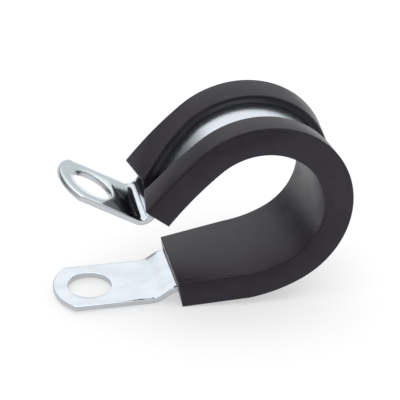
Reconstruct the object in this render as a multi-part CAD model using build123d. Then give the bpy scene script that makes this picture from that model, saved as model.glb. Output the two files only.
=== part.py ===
from build123d import *
import math
import os

os.makedirs("parts", exist_ok=True)

# An open P clip, rubber lined, with its lower tab level as it is bolted to a panel. Millimetres, +Z up.
# Seen from the side, the strip starts at the tip of the lower tab, steps up, goes round the loop
# anticlockwise and comes back to the tip of the upper tab. The width runs along Y.

# Steel band
band_width = 15.0
band_thickness = 1.25
edge_break = 0.25            # the band's long edges and tips are broken by this much
hole_diameter = 9.0
hole_to_tip = 7.5
tab_end_bulge = 3.4          # how far the rounded end stands out past its corners

# Side view of the band: straight runs, and bends by the radius of the middle line
lower_tab_length = 19.2
step_radius = 3.9
step_angle = 33.5
step_slope_length = 1.9
lower_arm_slope = 6.8        # the arm rises towards the loop by this much
lower_arm_length = 14.0
lower_sweep_radius = 26.7
lower_sweep_angle = 21.4
loop_radius = 15.7
loop_angle = 192.8
upper_sweep_radius = 75.5
upper_sweep_angle = 10.6
upper_arm_length = 2.25
upper_bend_radius = 3.4
upper_bend_angle = 81.9
upper_tab_length = 15.6

# Rubber channel
liner_width = 21.4
liner_width_at_end = 18.0    # it closes in on the band towards the lower cut
liner_base = 2.0             # rubber between the band and the loop's inside
lip_height = 2.9             # rubber over the band at the outer rims
lip_fall = 0.9               # the lips' tops slope down to the middle line by this much
lip_stretch = 0.57           # round the loop the lips are pulled this much thinner and the base is fuller
channel_clearance = 0.05
liner_setback = 0.6          # from the upper bend to the rubber's cut end
rim_round = 0.5
inner_edge_break = 0.25      # a flat across the corners at the loop's inside

# Groove between the lips, which leaves the band's outer face bare
groove_width = 8.9
groove_width_at_cut = 3.6
groove_sideways = 1.1        # how far the groove wanders to one side at the upper cut
lip_pull_back = 1.6          # at the liner's ends the cut runs back from the rims to the middle line


class Route:
    """Middle line of the strip in the side view, made of tangent straight runs and bends."""

    def __init__(self, steps):
        self.stations = []
        heading = 0.0
        along = 0.0
        x = 0.0
        z = 0.0
        for length, turn in steps:
            self.stations.append((along, length, turn, x, z, heading))
            x, z = self.advance(x, z, heading, length, turn, length)
            heading += turn
            along += length
        self.length = along

    @staticmethod
    def advance(x, z, heading, length, turn, distance):
        """Where a run or bend has got to after some of its length."""
        if turn == 0:
            return x + distance * math.cos(heading), z + distance * math.sin(heading)
        radius = length / turn
        now = heading + distance / radius
        return (x + radius * (math.sin(now) - math.sin(heading)),
                z - radius * (math.cos(now) - math.cos(heading)))

    def at(self, along):
        """Point and heading at a distance from the lower tab's tip."""
        for start, length, turn, x, z, heading in reversed(self.stations):
            if along >= start:
                break
        distance = along - start
        x, z = self.advance(x, z, heading, length, turn, distance)
        return x, z, heading + turn * distance / length

    def point(self, along, offset):
        """A point in the side view, offset to the loop's inside."""
        x, z, heading = self.at(along)
        return x - offset * math.sin(heading), z + offset * math.cos(heading)

    def plane(self, along):
        """Plane across the strip: its X is the width and its Y points to the loop's inside."""
        x, z, heading = self.at(along)
        return Plane(origin=(x, 0, z), x_dir=(0, 1, 0), z_dir=(math.cos(heading), 0, math.sin(heading)))

    def pieces(self, first, last):
        """The straight runs and bends between two distances."""
        found = []
        for start, length, turn, x, z, heading in self.stations:
            begin = max(start, first)
            end = min(start + length, last)
            if end - begin > 1e-6:
                found.append((begin, end, turn * (end - begin) / length))
        return found

    def edges(self, first, last, offset):
        """Lines, arcs and easing curves of the side view at an offset that may change on the way."""
        drawn = []
        for begin, end, turn in self.pieces(first, last):
            middle = (begin + end) / 2
            a = self.point(begin, offset(begin))
            b = self.point(end, offset(end))
            if offset(begin) != offset(end):
                tangents = [self.plane(begin).z_dir, self.plane(end).z_dir]
                tangents = [(way.X, way.Z) for way in tangents]
                drawn.append(Spline(a, self.point(middle, offset(middle)), b, tangents=tangents))
            elif turn == 0:
                drawn.append(Line(a, b))
            else:
                drawn.append(ThreePointArc(a, self.point(middle, offset(middle)), b))
        return drawn

    def strip(self, first, last, low, high, width):
        """A strip that follows the route between two offsets from the band's middle."""
        def below(along):
            return low + band_place(along)

        def above(along):
            return high + band_place(along)

        outline = self.edges(first, last, below) + self.edges(first, last, above)
        outline.append(Line(self.point(first, below(first)), self.point(first, above(first))))
        outline.append(Line(self.point(last, below(last)), self.point(last, above(last))))
        return extrude(Plane.XZ * make_face(outline), amount=width / 2, both=True)

    def carry(self, face, first, last):
        """A flat section carried along the route: straight along the runs, turned round the bends."""
        solids = []
        for begin, end, turn in self.pieces(first, last):
            plane = self.plane(begin)
            placed = plane * face
            if turn == 0:
                solids.append(extrude(placed, amount=end - begin, dir=plane.z_dir))
            else:
                centre = self.point(begin, (end - begin) / turn)
                axis = Axis((centre[0], 0, centre[1]), (0, -1, 0))
                solids.append(revolve(placed, axis=axis, revolution_arc=math.degrees(turn)))
        return solids


def bend(radius, degrees):
    """Length and turn of a bend; a negative angle bends the other way."""
    turn = math.radians(degrees)
    return abs(radius * turn), turn


route = Route([
    (lower_tab_length, 0),
    bend(step_radius, step_angle),
    (step_slope_length, 0),
    bend(step_radius, lower_arm_slope - step_angle),
    (lower_arm_length, 0),
    bend(lower_sweep_radius, lower_sweep_angle),
    bend(loop_radius, loop_angle),
    bend(upper_sweep_radius, upper_sweep_angle),
    (upper_arm_length, 0),
    bend(upper_bend_radius, -upper_bend_angle),
    (upper_tab_length, 0),
])

starts = [station[0] for station in route.stations]
liner_start = starts[4]
lower_sweep_start = starts[5]
loop_start = starts[6]
loop_end = starts[7]
upper_arm_start = starts[8]
liner_end = starts[9] - liner_setback
loop_mid = (loop_start + loop_end) / 2


def band_place(along):
    """The band's offset from the route: on it along the arms, further out round the loop."""
    if along <= lower_sweep_start or along >= upper_arm_start:
        return 0.0
    if along < loop_start:
        share = (along - lower_sweep_start) / (loop_start - lower_sweep_start)
    elif along > loop_end:
        share = (upper_arm_start - along) / (upper_arm_start - loop_end)
    else:
        share = 1.0
    return -lip_stretch * share * share * (3 - 2 * share)


def tab_waste(plane):
    """What is cut from a tab: the corners round its end, and the bolt hole."""
    half = band_width / 2
    margin = band_width
    tip = make_face([
        ThreePointArc((tab_end_bulge, -half), (0, 0), (tab_end_bulge, half)),
        Line((tab_end_bulge, half), (tab_end_bulge, -half)),
    ])
    corners = Pos((tab_end_bulge - margin) / 2, 0) * Rectangle(tab_end_bulge + margin, 2 * margin) - tip
    hole = Pos(hole_to_tip, 0) * Circle(hole_diameter / 2)
    return extrude(plane * (corners + hole), amount=band_thickness, both=True)


def tip_plane(along, way):
    """Plane of a tab at its tip, with X pointing into the strip."""
    x, z, heading = route.at(along)
    return Plane(
        origin=(x, 0, z),
        x_dir=(way * math.cos(heading), 0, way * math.sin(heading)),
        z_dir=(-math.sin(heading), 0, math.cos(heading)),
    )


def make_band():
    half = band_thickness / 2
    blank = route.strip(0, route.length, -half, half, band_width)
    sharp = blank - tab_waste(tip_plane(0, 1)) - tab_waste(tip_plane(route.length, -1))
    rims = sharp.faces().sort_by(Axis.Y)
    rims = rims[:1] + rims[-1:]
    for along in (0, route.length):
        rims += sharp.faces().sort_by_distance((route.at(along)[0], 0, route.at(along)[1]))[:1]
    worn = [edge for rim in rims for edge in rim.edges() if edge.length > 1.5 * band_thickness]
    return chamfer(worn, edge_break)


def liner_outline(width):
    """Section of the rubber without its channel. Offsets count from the band's middle line."""
    half = width / 2
    inner = band_thickness / 2 + liner_base
    rim = -(band_thickness / 2 + lip_height)
    outline = Polyline((-half, inner), (half, inner), (half, rim), (0, rim + lip_fall), (-half, rim), close=True)
    face = make_face(outline)
    face = fillet(face.vertices().group_by(Axis.Y)[0], rim_round)
    return chamfer(face.vertices().group_by(Axis.Y)[-1], inner_edge_break)


def liner_body():
    """The rubber as one bar round the loop, narrower at the lower cut."""
    full = liner_outline(liner_width)
    narrow = liner_outline(liner_width_at_end)
    body = loft([route.plane(liner_start) * narrow, route.plane(lower_sweep_start) * full], ruled=True)
    for solid in route.carry(full, lower_sweep_start, liner_end):
        body += solid
    return body


def groove_plan(x_cut, x_full, low, high, sideways):
    """Plan of the gap between the lips over one arm: narrow at the cut, then wider up to the loop."""
    mouth = groove_width_at_cut / 2
    wide = groove_width / 2
    far_end = x_full + 4 * loop_radius
    outline = Polyline(
        (x_cut - liner_width, -mouth - sideways),
        (x_cut, -mouth - sideways),
        (x_full, -wide),
        (far_end, -wide),
        (far_end, wide),
        (x_full, wide),
        (x_cut, mouth - sideways),
        (x_cut - liner_width, mouth - sideways),
        close=True,
    )
    return extrude(Plane.XY.offset(low) * make_face(outline), amount=high - low)


def liner_groove():
    """Opening between the lips, down to the band's outer face."""
    reach = 2 * lip_height + band_thickness
    along = route.strip(liner_start - 1, liner_end + 1, -reach, -band_thickness / 2, groove_width)
    middle_z = route.point(loop_mid, loop_radius)[1]
    lower_cut, lower_full = route.point(liner_start, 0)[0], route.point(loop_start, 0)[0]
    upper_cut, upper_full = route.point(liner_end, 0)[0], route.point(loop_end, 0)[0]
    lower = groove_plan(lower_cut, lower_full, middle_z - 3 * loop_radius, middle_z, 0)
    upper = groove_plan(upper_cut, upper_full, middle_z, middle_z + 3 * loop_radius, groove_sideways)
    return along & (lower + upper)


def lip_trim(along, way):
    """Wedge that slants a cut end of the lips, from the rims back to their tips."""
    rim = liner_width / 2
    outline = Polyline((-1, -rim), (0, -rim), (lip_pull_back, 0), (0, rim), (-1, rim), close=True)
    plane = tip_plane(along, way).offset(-band_thickness / 2)
    return extrude(plane * make_face(outline), amount=-2 * lip_height)


def make_liner():
    cavity = band_thickness / 2 + channel_clearance
    channel = route.strip(liner_start - 1, liner_end + 1, -cavity, cavity, band_width + 2 * channel_clearance)
    cuts = lip_trim(liner_start, 1) + lip_trim(liner_end, -1)
    return liner_body() - channel - liner_groove() - cuts


band = make_band()
liner = make_liner()

# The middle of the clip's box in plan, at its lowest point, becomes the origin
around = Compound([band, liner]).bounding_box()
to_origin = Pos(-around.center().X, 0, -around.min.Z)
steel_band = to_origin * band
rubber_liner = to_origin * liner

export_step(steel_band, "parts/steel_band.step")
export_step(rubber_liner, "parts/rubber_liner.step")
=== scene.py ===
import math

import bmesh
import bpy
from mathutils import Matrix, Vector


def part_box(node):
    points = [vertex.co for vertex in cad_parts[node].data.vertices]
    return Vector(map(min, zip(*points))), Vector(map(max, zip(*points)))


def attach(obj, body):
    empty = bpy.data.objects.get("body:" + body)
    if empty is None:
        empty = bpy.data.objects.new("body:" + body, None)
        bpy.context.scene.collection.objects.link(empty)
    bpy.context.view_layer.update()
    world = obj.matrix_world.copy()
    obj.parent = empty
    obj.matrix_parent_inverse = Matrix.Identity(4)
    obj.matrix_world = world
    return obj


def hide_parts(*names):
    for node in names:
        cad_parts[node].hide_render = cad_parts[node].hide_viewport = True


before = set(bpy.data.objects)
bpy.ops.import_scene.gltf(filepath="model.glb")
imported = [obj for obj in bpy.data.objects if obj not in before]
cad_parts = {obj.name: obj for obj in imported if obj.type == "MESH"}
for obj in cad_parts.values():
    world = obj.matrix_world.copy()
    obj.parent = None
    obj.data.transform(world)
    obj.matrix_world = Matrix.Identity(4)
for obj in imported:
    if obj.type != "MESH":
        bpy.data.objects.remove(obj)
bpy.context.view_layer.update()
mm = 0.001
tolerance = 0.001  # millimetres by which two levels may differ and still be one

# The steel band: sizes in millimetres, then its finish
band = {
    "width": 15.0,
    "thickness": 1.25,
    "hole": 9.0,
    "holeToTip": 7.5,
    "tipBulge": 3.4,
    "tabMargin": 1.4,  # from a hole's edge to where the plain rows of the strip start
    "stretch": 0.57,  # how much further out it lies in the rubber round the loop
    "edgeRound": 0.28,
    "holeRound": 0.13,
    "holeSegments": 64,
    "zincDark": (0.70, 0.755, 0.80, 1),
    "zincPale": (0.77, 0.825, 0.875, 1),
    "shearedEdge": (0.52, 0.54, 0.56, 1),
    # painted shade where the band runs out of the rubber at the upper cut
    "cutShade": (0.16, 0.16, 0.18, 1),
    "roughness": 0.07,
}


# A bend as its length and its turn
def bendOf(radius, degrees):
    turn = math.radians(degrees)
    return radius * abs(turn), turn


runs = [
    (19.2, 0.0),  # lower tab
    bendOf(3.9, 33.5),  # step up from the panel
    (1.9, 0.0),
    bendOf(3.9, -26.7),
    (14.0, 0.0),  # lower arm
    bendOf(26.7, 21.4),  # sweep into the loop
    bendOf(15.7, 192.8),  # loop
    bendOf(75.5, 10.6),  # sweep out of it
    (3.29, 0.0),  # upper arm
    bendOf(2.2, -81.9),  # upper bend
    (16.64, 0.0),  # upper tab
]


def advance(x, z, heading, length, turn, distance):
    if turn == 0:
        return x + distance * math.cos(heading), z + distance * math.sin(heading)
    radius = length / turn
    now = heading + distance / radius
    return x + radius * (math.sin(now) - math.sin(heading)), z - radius * (math.cos(now) - math.cos(heading))


# Where each run starts: distance along the strip, then its own length and turn, the spot and the heading
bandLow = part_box("steel_band")[0]
stations = []
along = 0.0
spot = (bandLow.x / mm, bandLow.z / mm + band["thickness"] / 2)
heading = 0.0
for length, turn in runs:
    stations.append((along, length, turn, *spot, heading))
    spot = advance(*spot, heading, length, turn, length)
    heading += turn
    along += length
stripLength = along
armStart, sweepStart, loopStart, loopEnd, upperArm, upperBend = [station[0] for station in stations[4:10]]


# A point of the side view at a distance along the strip and an offset to the loop's inside
def foldPoint(distance, offset):
    for start, length, turn, x, z, heading in reversed(stations):
        if distance >= start - 1e-9:
            break
    x, z = advance(x, z, heading, length, turn, distance - start)
    now = heading + turn * (distance - start) / length
    return x - offset * math.sin(now), z + offset * math.cos(now)


# Folds a flat mesh in millimetres round the clip, and keeps where each point was on the flat strip
def fold(bm):
    flat = bm.verts.layers.float_vector.new("strip")
    for v in bm.verts:
        v[flat] = v.co * mm
        x, z = foldPoint(v.co.x, v.co.z)
        v.co = (x * mm, v.co.y * mm, z * mm)


# Keeps a share between nothing and one
def unit(value):
    return min(1, max(0, value))


# The same share with a soft start and a soft end
def smooth(share):
    return share * share * (3 - 2 * share)


# Reads a list of pairs, such as distance and size, at a distance between two of them
def between(pairs, distance):
    if distance <= pairs[0][0]:
        return pairs[0][1]
    for (a, low), (b, high) in zip(pairs, pairs[1:]):
        if distance <= b:
            return low + (high - low) * (distance - a) / (b - a)
    return pairs[-1][1]


# Round the loop the band lies further out in the rubber than along the arms
def bandPlace(distance):
    rise = (distance - sweepStart) / (loopStart - sweepStart)
    fall = (upperArm - distance) / (upperArm - loopEnd)
    return -band["stretch"] * smooth(unit(min(rise, fall)))


# Rows along the strip: close together in the bends, wider apart on the runs
def rowsBetween(first, last, straight=1.2, turnStep=0.05, extra=()):
    rows = [first, last, *extra]
    for start, length, turn, *place in stations:
        count = max(1, math.ceil(length / straight), math.ceil(abs(turn) / turnStep))
        rows += [start + length * k / count for k in range(count + 1)]
    rows = sorted(r for r in rows if first <= r <= last)
    kept = rows[:1]
    for row in rows[1:]:
        if row - kept[-1] > 0.05:
            kept.append(row)
        elif row == last:
            kept[-1] = row
    return kept


def vertsOf(geometry):
    return [v for v in geometry if isinstance(v, bmesh.types.BMVert)]


# Moved points keep their old normals, so these are worked out before the faces are turned outwards
def toObject(name, bm, node, material):
    bm.normal_update()
    bmesh.ops.recalc_face_normals(bm, faces=bm.faces)
    mesh = bpy.data.meshes.new(name)
    bm.to_mesh(mesh)
    bm.free()
    mesh.shade_smooth()
    piece = bpy.data.objects.new(name, mesh)
    bpy.context.scene.collection.objects.link(piece)
    mesh.materials.append(material)
    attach(piece, "root")
    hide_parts(node)
    print(name, "has", len(mesh.polygons), "faces")
    return piece


# One output of a material's nodes, so that shader maths is written as sums and products
class Value:
    def __init__(self, graph, socket):
        self.graph = graph
        self.socket = socket

    def maths(self, operation, *others):
        return self.graph.node("ShaderNodeMath", {"operation": operation}, dict(enumerate((self, *others))))

    def __add__(self, other):
        return self.maths("ADD", other)

    def __sub__(self, other):
        return self.maths("SUBTRACT", other)

    def __mul__(self, other):
        return self.maths("MULTIPLY", other)

    def __radd__(self, other):
        return self.maths("ADD", other)

    def __rmul__(self, other):
        return self.maths("MULTIPLY", other)

    def __rsub__(self, other):
        return self.graph.node("ShaderNodeMath", {"operation": "SUBTRACT"}, {0: other, 1: self})

    def clamp(self, low, high):
        return self.maths("MAXIMUM", low).maths("MINIMUM", high)


class Graph:
    def __init__(self, owner):
        self.owner = owner
        owner.use_nodes = True
        self.tree = owner.node_tree
        self.tree.nodes.clear()

    def plug(self, target, value):
        if isinstance(value, Value):
            self.tree.links.new(value.socket, target)
        else:
            target.default_value = value

    def node(self, kind, settings, inputs, output=0):
        made = self.tree.nodes.new(kind)
        for key, value in settings.items():
            setattr(made, key, value)
        for key, value in inputs.items():
            self.plug(made.inputs[key], value)
        return Value(self, made.outputs[output])

    # Where a point was on the flat strip, in metres: along, across and through
    def strip(self):
        return self.node("ShaderNodeAttribute", {"attribute_name": "strip"}, {}, "Vector")

    def parts(self, vector):
        split = self.node("ShaderNodeSeparateXYZ", {}, {0: vector})
        outputs = split.socket.node.outputs
        return [Value(self, outputs[k]) for k in range(3)]

    # Cloudy noise, with its scale along, across and through
    def noise(self, vector, scale, detail, roughness):
        sized = self.node("ShaderNodeVectorMath", {"operation": "MULTIPLY"}, {0: vector, 1: scale})
        inputs = {"Vector": sized, "Scale": 1.0, "Detail": detail, "Roughness": roughness}
        return self.node("ShaderNodeTexNoise", {}, inputs, "Fac")

    def mix(self, share, first, second):
        return self.node("ShaderNodeMix", {"data_type": "RGBA"}, {0: share, 6: first, 7: second}, 2)

    def ramp(self, value, low, high):
        settings = {"interpolation_type": "SMOOTHSTEP"}
        return self.node("ShaderNodeMapRange", settings, {"Value": value, "From Min": low, "From Max": high})

    # One between two levels, with a soft rise and a soft fall
    def zone(self, value, rise, full, fall, gone):
        return self.ramp(value, rise, full) * (1 - self.ramp(value, fall, gone))

    # One on a line at the given level and nothing further off than the width
    def line(self, value, level, width):
        return 1 - self.ramp((value - level).maths("ABSOLUTE"), width * 0.3, width)

    def bump(self, height, strength):
        inputs = {"Height": height, "Strength": strength, "Distance": 0.1 * mm}
        return self.node("ShaderNodeBump", {}, inputs)

    def finish(self, shader, output="ShaderNodeOutputMaterial"):
        out = self.tree.nodes.new(output)
        self.plug(out.inputs["Surface"], shader)
        return self.owner

    def principled(self, inputs):
        return self.finish(self.node("ShaderNodeBsdfPrincipled", {}, inputs))


# Bright zinc: mirror-like on the tabs and duller in the rubber, with faint rolling marks along the strip,
# a few hairline scratches, dull sheared edges and painted shade at the upper cut, between the lips
def zincMaterial():
    g = Graph(bpy.data.materials.new("bright_zinc"))
    strip = g.strip()
    along, across, through = g.parts(strip)
    rolling = g.noise(strip, (60, 2600, 60), 3.0, 0.6)
    cloudy = g.noise(strip, (130, 260, 260), 3.0, 0.55)
    hair = g.noise(strip, (220, 5200, 220), 1.0, 0.4)
    slip = g.line(along - across * 0.6, 124.36 * mm, 0.06 * mm)  # one longer scratch by the upper bend
    slip = slip * g.zone(across, -4.5 * mm, -4.0 * mm, 1.6 * mm, 2.2 * mm)
    scratch = (g.ramp(hair, 0.70, 0.76) + 1.6 * slip).clamp(0, 2)
    lined = g.zone(along, 45 * mm, 55 * mm, 112 * mm, 118 * mm)
    # painted shade: the tint darkens where the metal leaves the rubber between the lips
    cutShade = g.zone(along, 112 * mm, 115 * mm, 118.4 * mm, 119.2 * mm)
    cut = 1 - g.ramp(through.maths("ABSOLUTE"), 0.50 * mm, 0.61 * mm)
    tint = g.mix(g.ramp(cloudy, 0.35, 0.65), band["zincDark"], band["zincPale"])
    tint = g.mix(cut, tint, band["shearedEdge"])
    tint = g.mix(cutShade, tint, band["cutShade"])
    rough = band["roughness"] + 0.05 * cloudy + 0.08 * scratch + 0.12 * lined + 0.15 * cut
    normal = g.bump(rolling * 0.6 + scratch * -0.6 + cloudy * 0.5, 0.10)
    return g.principled({"Base Color": tint, "Metallic": 1.0, "Roughness": rough, "Normal": normal})


# How far a tab's outline is from its hole's middle: a side, the bulged tip or the line where the rows start
def outlineReach(direction, back):
    half = band["width"] / 2
    centre = band["holeToTip"]
    reach = []
    if abs(direction.y) > 1e-6:
        reach.append(half / abs(direction.y))
    if direction.x > 1e-6:
        reach.append((back - centre) / direction.x)
    else:
        radius = (band["tipBulge"] ** 2 + half ** 2) / (2 * band["tipBulge"])
        gap = centre - radius
        dot = direction.x * gap
        reach.append(-dot + math.sqrt(dot * dot - gap * gap + radius * radius))
    return min(reach)


def makeBand(material):
    bm = bmesh.new()
    count = band["holeSegments"]
    half = band["width"] / 2
    back = band["holeToTip"] + band["hole"] / 2 + band["tabMargin"]
    middle = Vector((band["holeToTip"], 0, 0))
    at = Matrix.Translation(middle)
    # A tab: a ring of faces from the hole to the outline, and the same turned round at the other end
    bmesh.ops.create_circle(bm, segments=count, radius=band["hole"] / 2, matrix=at)
    rim = bmesh.ops.create_circle(bm, segments=count, radius=band["hole"] / 2 + 1, matrix=at)["verts"]
    for v in rim:
        direction = (v.co - middle).normalized()
        v.co = middle + direction * outlineReach(direction, back)
    for corner in [(band["tipBulge"], half), (band["tipBulge"], -half), (back, half), (back, -half)]:
        target = Vector((*corner, 0))
        min(rim, key=lambda v: (v.co - target).length).co = target
    bmesh.ops.bridge_loops(bm, edges=bm.edges[:])
    other = vertsOf(bmesh.ops.duplicate(bm, geom=bm.verts[:] + bm.edges[:] + bm.faces[:])["geom"])
    bmesh.ops.scale(bm, verts=other, vec=(-1, 1, 1))
    bmesh.ops.translate(bm, verts=other, vec=(stripLength, 0, 0))

    def isAcross(e):
        return abs(e.verts[0].co.x - e.verts[1].co.x) < 1e-5

    # The strip between the tabs, row by row
    edges = [e for e in bm.edges if all(abs(v.co.x - back) < 1e-4 for v in e.verts)]
    last = back
    for row in rowsBetween(back, stripLength - back)[1:]:
        made = bmesh.ops.extrude_edge_only(bm, edges=edges)["geom"]
        bmesh.ops.translate(bm, verts=vertsOf(made), vec=(row - last, 0, 0))
        edges = [e for e in made if isinstance(e, bmesh.types.BMEdge) and isAcross(e)]
        last = row
    bmesh.ops.remove_doubles(bm, verts=bm.verts[:], dist=0.01)
    bmesh.ops.recalc_face_normals(bm, faces=bm.faces)
    bmesh.ops.solidify(bm, geom=bm.faces[:], thickness=band["thickness"])
    levels = [v.co.z for v in bm.verts]
    bmesh.ops.translate(bm, verts=bm.verts[:], vec=(0, 0, -(min(levels) + max(levels)) / 2))
    bmesh.ops.recalc_face_normals(bm, faces=bm.faces)

    middles = (middle, Vector((stripLength - band["holeToTip"], 0, 0)))
    holeReach = band["hole"] / 2 + 0.3

    def isSharp(e):
        level = abs(e.verts[0].co.z - e.verts[1].co.z) < 0.01
        return level and len(e.link_faces) == 2 and e.calc_face_angle() > 1.2

    def isAtHole(e):
        return min((v.co.xy - m.xy).length for m in middles for v in e.verts) < holeReach

    # Rolled edges along the strip and round the tips, then finer ones round the punched holes
    for atHole, size, segments in [(False, band["edgeRound"], 3), (True, band["holeRound"], 2)]:
        chosen = [e for e in bm.edges if isSharp(e) and isAtHole(e) == atHole]
        bmesh.ops.bevel(bm, geom=chosen, offset=size, segments=segments, profile=0.5, affect="EDGES",
                        material=-1)
    for v in bm.verts:
        v.co.z += bandPlace(v.co.x)
    fold(bm)
    return toObject("band", bm, "steel_band", material)


# The rubber channel: sizes in millimetres, then its finish
rubber = {
    "width": 21.4,
    "widthAtCut": 18.0,
    "base": 2.0,
    "lip": 2.87,
    "lipFall": 0.9,  # how far the lips' outer face drops towards the middle line
    "clearance": 0.05,
    "setback": 1.64,  # from the upper cut to the upper bend
    "rimRound": 0.36,
    "innerRound": 0.3,
    "noseRound": 0.35,
    "rimCrease": -3.0,  # levels of the two fine creases in the side walls
    "innerCrease": 2.18,
    "creaseDepth": 0.2,
    "creaseWidth": 0.26,
    "creaseLine": 0.18,
    "cutSlant": 1.6,  # how far the lips' ends run back from the rims to the tips
    "slantReach": 6.0,
    "tip": 4.45,  # the lips' tips from the middle line, round the loop
    # The same all the way: distance along the strip, then how far out
    "nearTips": [(25.2, 1.8), (49.2, 4.45), (102.0, 4.45), (110.0, 3.9), (115.6, 3.3), (117.6, 2.9)],
    "farTips": [(25.2, 1.8), (49.2, 4.45), (102.0, 4.45), (108.2, 3.0), (112.8, 1.3), (115.8, 0.6),
                (117.6, 0.5)],
    "rimCreaseFrom": (84, 92),  # where along the strip the rim's crease fades in
    "innerCreaseTo": (62, 72),  # and where the inner one fades out
    "black": (0.0045, 0.0016, 0.0078, 1),
    "dusty": (0.0135, 0.0074, 0.0155, 1),
    # painted reflection: the lighter colour of the inner face
    "inside": (0.0225, 0.0150, 0.0265, 1),
    # painted shade laid into the creases
    "creaseShade": (0.002, 0.0015, 0.002, 1),
    "roughness": 0.32,
}
linerEnd = upperBend - rubber["setback"]


# Black extruded rubber: dull, a little purple, with a fine grain and drag marks along its length.
# A fine crease runs beside the rim and another beside the inner corner, each darkened with painted shade.
def rubberMaterial():
    g = Graph(bpy.data.materials.new("black_rubber"))
    strip = g.strip()
    along, across, through = g.parts(strip)
    grain = g.noise(strip, (2400, 2400, 2400), 2.0, 0.6)
    drag = g.noise(strip, (90, 1500, 1500), 2.0, 0.5)
    dust = g.ramp(g.noise(strip, (160, 200, 200), 3.0, 0.6), 0.42, 0.72)
    broken = g.ramp(g.noise(strip, (300, 40, 40), 2.0, 0.5), 0.30, 0.45)
    wall = g.ramp(across.maths("ABSOLUTE"), 8.4 * mm, 8.8 * mm)
    thin = rubber["creaseLine"] * mm
    rimCrease = g.line(through, rubber["rimCrease"] * mm, thin) * g.ramp(along, 80 * mm, 92 * mm)
    innerCrease = g.line(through, rubber["innerCrease"] * mm, thin) * (1 - g.ramp(along, 60 * mm, 75 * mm))
    crease = (rimCrease + innerCrease) * wall * broken
    # The inner face is painted a little lighter, a painted reflection varied by the dust, but for a darker
    # patch, a painted dark reflection, where the lower arm turns up into the loop
    shaded = g.line(along, 55.5 * mm, 6.5 * mm)
    inside = g.ramp(through, 2.35 * mm, 2.60 * mm) * (1 - shaded) * (0.6 + 0.4 * dust)
    colour = g.mix(dust, rubber["black"], rubber["dusty"])
    colour = g.mix(inside, colour, rubber["inside"])
    # painted shade darkens the base colour along the creases
    colour = g.mix(crease, colour, rubber["creaseShade"])
    rough = rubber["roughness"] + 0.08 * grain + 0.10 * dust + 0.3 * crease
    normal = g.bump(grain * 0.5 + drag * 0.6 + crease * -2.0, 0.3)
    return g.principled({
        "Base Color": colour,
        "Roughness": rough,
        "Specular IOR Level": 0.38,
        "Sheen Weight": 0.04,
        "Normal": normal,
    })


# Half of the rubber's section, from the inner corner round the side wall to the lip's tip and into the slot
def sectionCorners():
    t = band["thickness"] / 2
    half = rubber["width"] / 2
    outer = -(t + rubber["lip"])
    slot = t + rubber["clearance"]
    slotSide = band["width"] / 2 + rubber["clearance"]
    creases = [("wall", half, level + step * rubber["creaseWidth"] / 2)
               for level in (rubber["innerCrease"], rubber["rimCrease"]) for step in (1, 0, -1)]
    return [
        ("inner", half, t + rubber["base"]),
        *creases,
        ("outer", half, outer),
        ("nose", rubber["tip"], outer + rubber["lipFall"] * (1 - rubber["tip"] / half)),
        ("foot", rubber["tip"], -slot),
        ("slot", slotSide, -slot),
        ("slot", slotSide, slot),
    ]


# Falls smoothly from one at a cut end to nothing further in
def fade(distance):
    return 1 - smooth(unit(distance / rubber["slantReach"]))


# How deep a point of the side wall is pressed in: by the rim on the upper arm, by the inner corner lower down
def creaseDepth(distance, level):
    share = 0
    if abs(level - rubber["rimCrease"]) < 1e-4:
        start, full = rubber["rimCreaseFrom"]
        share = unit((distance - start) / (full - start))
    elif abs(level - rubber["innerCrease"]) < 1e-4:
        full, end = rubber["innerCreaseTo"]
        share = unit((end - distance) / (end - full))
    return rubber["creaseDepth"] * share


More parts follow.
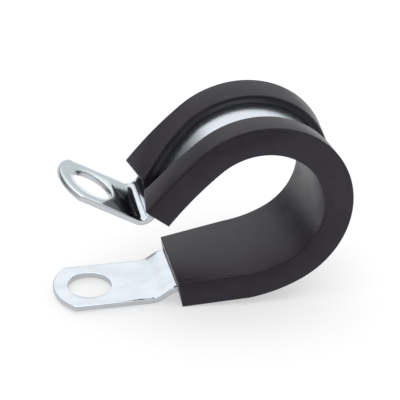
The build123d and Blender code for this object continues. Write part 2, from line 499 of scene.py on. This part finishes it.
def makeRubber(material):
    bm = bmesh.new()
    corners = sectionCorners()
    ring = [(name, -y, z) for name, y, z in corners] + [(name, y, z) for name, y, z in reversed(corners)]
    verts = [bm.verts.new((armStart, y, z)) for name, y, z in ring]
    bm.faces.new(verts)
    rounding = {"inner": rubber["innerRound"], "outer": rubber["rimRound"], "nose": rubber["noseRound"]}
    for size in sorted(set(rounding.values())):
        chosen = [v for v, (name, y, z) in zip(verts, ring) if rounding.get(name) == size and v.is_valid]
        bmesh.ops.bevel(bm, geom=chosen, offset=size, segments=4, profile=0.5, affect="VERTICES", material=-1)
    # The section drawn out along the strip, with finer rows at the cuts, where the lips' ends slant
    cutRows = [armStart + k * 0.3 for k in range(6)] + [linerEnd - k * 0.3 for k in range(8)]
    faces = bm.faces[:]
    last = armStart
    for row in rowsBetween(armStart, linerEnd, 0.7, 0.035, cutRows)[1:]:
        made = bmesh.ops.extrude_face_region(bm, geom=faces)["geom"]
        if last > armStart:
            bmesh.ops.delete(bm, geom=faces, context="FACES_ONLY")
        faces = [f for f in made if isinstance(f, bmesh.types.BMFace)]
        bmesh.ops.translate(bm, verts=vertsOf(made), vec=(row - last, 0, 0))
        last = row
    # Every row gets its own groove, width, creases and place round the band
    half = rubber["width"] / 2
    slot = band["thickness"] / 2 + rubber["clearance"]
    slotSide = band["width"] / 2 + rubber["clearance"]
    for v in bm.verts:
        side = -1 if v.co.y < 0 else 1
        out = abs(v.co.y)
        if v.co.z < -band["thickness"] / 2 and out < slotSide - tolerance:
            reach = between(rubber["nearTips" if side < 0 else "farTips"], v.co.x)
            out = slotSide - (slotSide - out) * (slotSide - reach) / (slotSide - rubber["tip"])
        elif out > slotSide + tolerance:
            share = unit((v.co.x - armStart) / (sweepStart - armStart))
            wide = rubber["widthAtCut"] / 2 * (1 - share) + half * share
            out = slotSide + (out - slotSide) * (wide - slotSide) / (half - slotSide)
        if out > slotSide + 1:
            out -= creaseDepth(v.co.x, v.co.z)
        v.co.y = side * out
        below = -slot - tolerance - v.co.z
        if below > 0:
            # The cut ends of the lips run back from the rims to the tips
            pull = rubber["cutSlant"] * (1 - out / half) * min(1, below / 0.8)
            v.co.x += pull * fade(v.co.x - armStart) - pull * fade(linerEnd - v.co.x)
        if abs(v.co.z) < slot + tolerance:
            v.co.z += bandPlace(v.co.x)
    fold(bm)
    return toObject("liner", bm, "rubber_liner", material)


# The world's colours, the directions over which one turns into the next, and the floor
studio = {
    "wallHigh": (1.07, 1.07, 1.08, 1),
    "wallRight": (0.66, 0.70, 0.69, 1),
    "wallLeft": (0.06, 0.06, 0.07, 1),
    "front": (0.72, 0.72, 0.73, 1),
    "leftToRight": (-0.50, 0.10),
    "lowToHigh": (0.15, 0.42),
    "frontToBack": (-0.35, 0.45),
    "floor": (0.95, 0.95, 0.95, 1),
    "floorGlow": 0.5,
    "floorSize": 1.2,
}


# A soft studio: bright behind the clip and above it, mid grey in front, dark low on the left, and a pale floor
def makeStudio():
    world = bpy.data.worlds.new("studio")
    bpy.context.scene.world = world
    g = Graph(world)
    facing = g.node("ShaderNodeTexCoord", {}, {}, "Generated")
    side, depth, height = g.parts(facing)
    low = g.mix(g.ramp(side, *studio["leftToRight"]), studio["wallLeft"], studio["wallRight"])
    wall = g.mix(g.ramp(height, *studio["lowToHigh"]), low, studio["wallHigh"])
    room = g.mix(g.ramp(depth, *studio["frontToBack"]), studio["front"], wall)
    g.finish(g.node("ShaderNodeBackground", {}, {"Color": room, "Strength": 1.0}), "ShaderNodeOutputWorld")

    bm = bmesh.new()
    bmesh.ops.create_grid(bm, x_segments=8, y_segments=8, size=studio["floorSize"])
    mesh = bpy.data.meshes.new("floor")
    bm.to_mesh(mesh)
    bm.free()
    floor = bpy.data.objects.new("floor", mesh)
    bpy.context.scene.collection.objects.link(floor)
    # The camera and the mirror-like metal see the floor part lit from within, so that it comes out white
    paper = Graph(bpy.data.materials.new("pale_floor"))
    path = paper.node("ShaderNodeLightPath", {}, {}, "Is Camera Ray")
    rays = path.socket.node.outputs
    seen = (path + Value(paper, rays["Is Glossy Ray"]) + Value(paper, rays["Is Transmission Ray"])).clamp(0, 1)
    dull = paper.node("ShaderNodeBsdfDiffuse", {}, {"Color": studio["floor"]})
    white = paper.node("ShaderNodeEmission", {}, {"Color": (1, 1, 1, 1), "Strength": 1.0})
    paper.finish(paper.node("ShaderNodeMixShader", {}, {0: seen * studio["floorGlow"], 1: dull, 2: white}))
    mesh.materials.append(paper.owner)
    print("studio and floor made")


lamps = [
    {"name": "softbox", "place": (0.06, -0.04, 0.75), "size": 0.9, "power": 2.7},
]


def makeLamps():
    for lamp in lamps:
        light = bpy.data.lights.new(lamp["name"], "AREA")
        light.shape = "SQUARE"
        light.size = lamp["size"]
        light.energy = lamp["power"]
        shown = bpy.data.objects.new(lamp["name"], light)
        shown.location = lamp["place"]
        shown.rotation_euler = (-Vector(lamp["place"])).to_track_quat("-Z", "Y").to_euler()
        bpy.context.scene.collection.objects.link(shown)
    print("lamps placed:", len(lamps))


# Where the camera looks, from where, and how long its lens is: metres, degrees and millimetres
camera = {
    "target": (0.000496, -0.000062, 0.01979),
    "azimuth": 14.049,
    "elevation": 30.779,
    "roll": 2.068,
    "distance": 0.34696,
    "lens": 153.02,
}


def makeCamera():
    a = math.radians(camera["azimuth"])
    e = math.radians(camera["elevation"])
    back = Vector((-math.sin(a) * math.cos(e), -math.cos(a) * math.cos(e), math.sin(e)))
    data = bpy.data.cameras.new("camera")
    data.lens = camera["lens"]
    data.clip_start = 0.01
    shown = bpy.data.objects.new("camera", data)
    bpy.context.scene.collection.objects.link(shown)
    turn = Matrix.Rotation(math.radians(camera["roll"]), 3, "Z")
    facing = (-back).to_track_quat("-Z", "Y").to_matrix() @ turn
    eye = Vector(camera["target"]) + back * camera["distance"]
    shown.matrix_world = Matrix.Translation(eye) @ facing.to_4x4()
    bpy.context.scene.camera = shown
    print("camera placed")


makeBand(zincMaterial())
makeRubber(rubberMaterial())
makeStudio()
makeLamps()
makeCamera()
bpy.context.scene.view_settings.view_transform = "Standard"
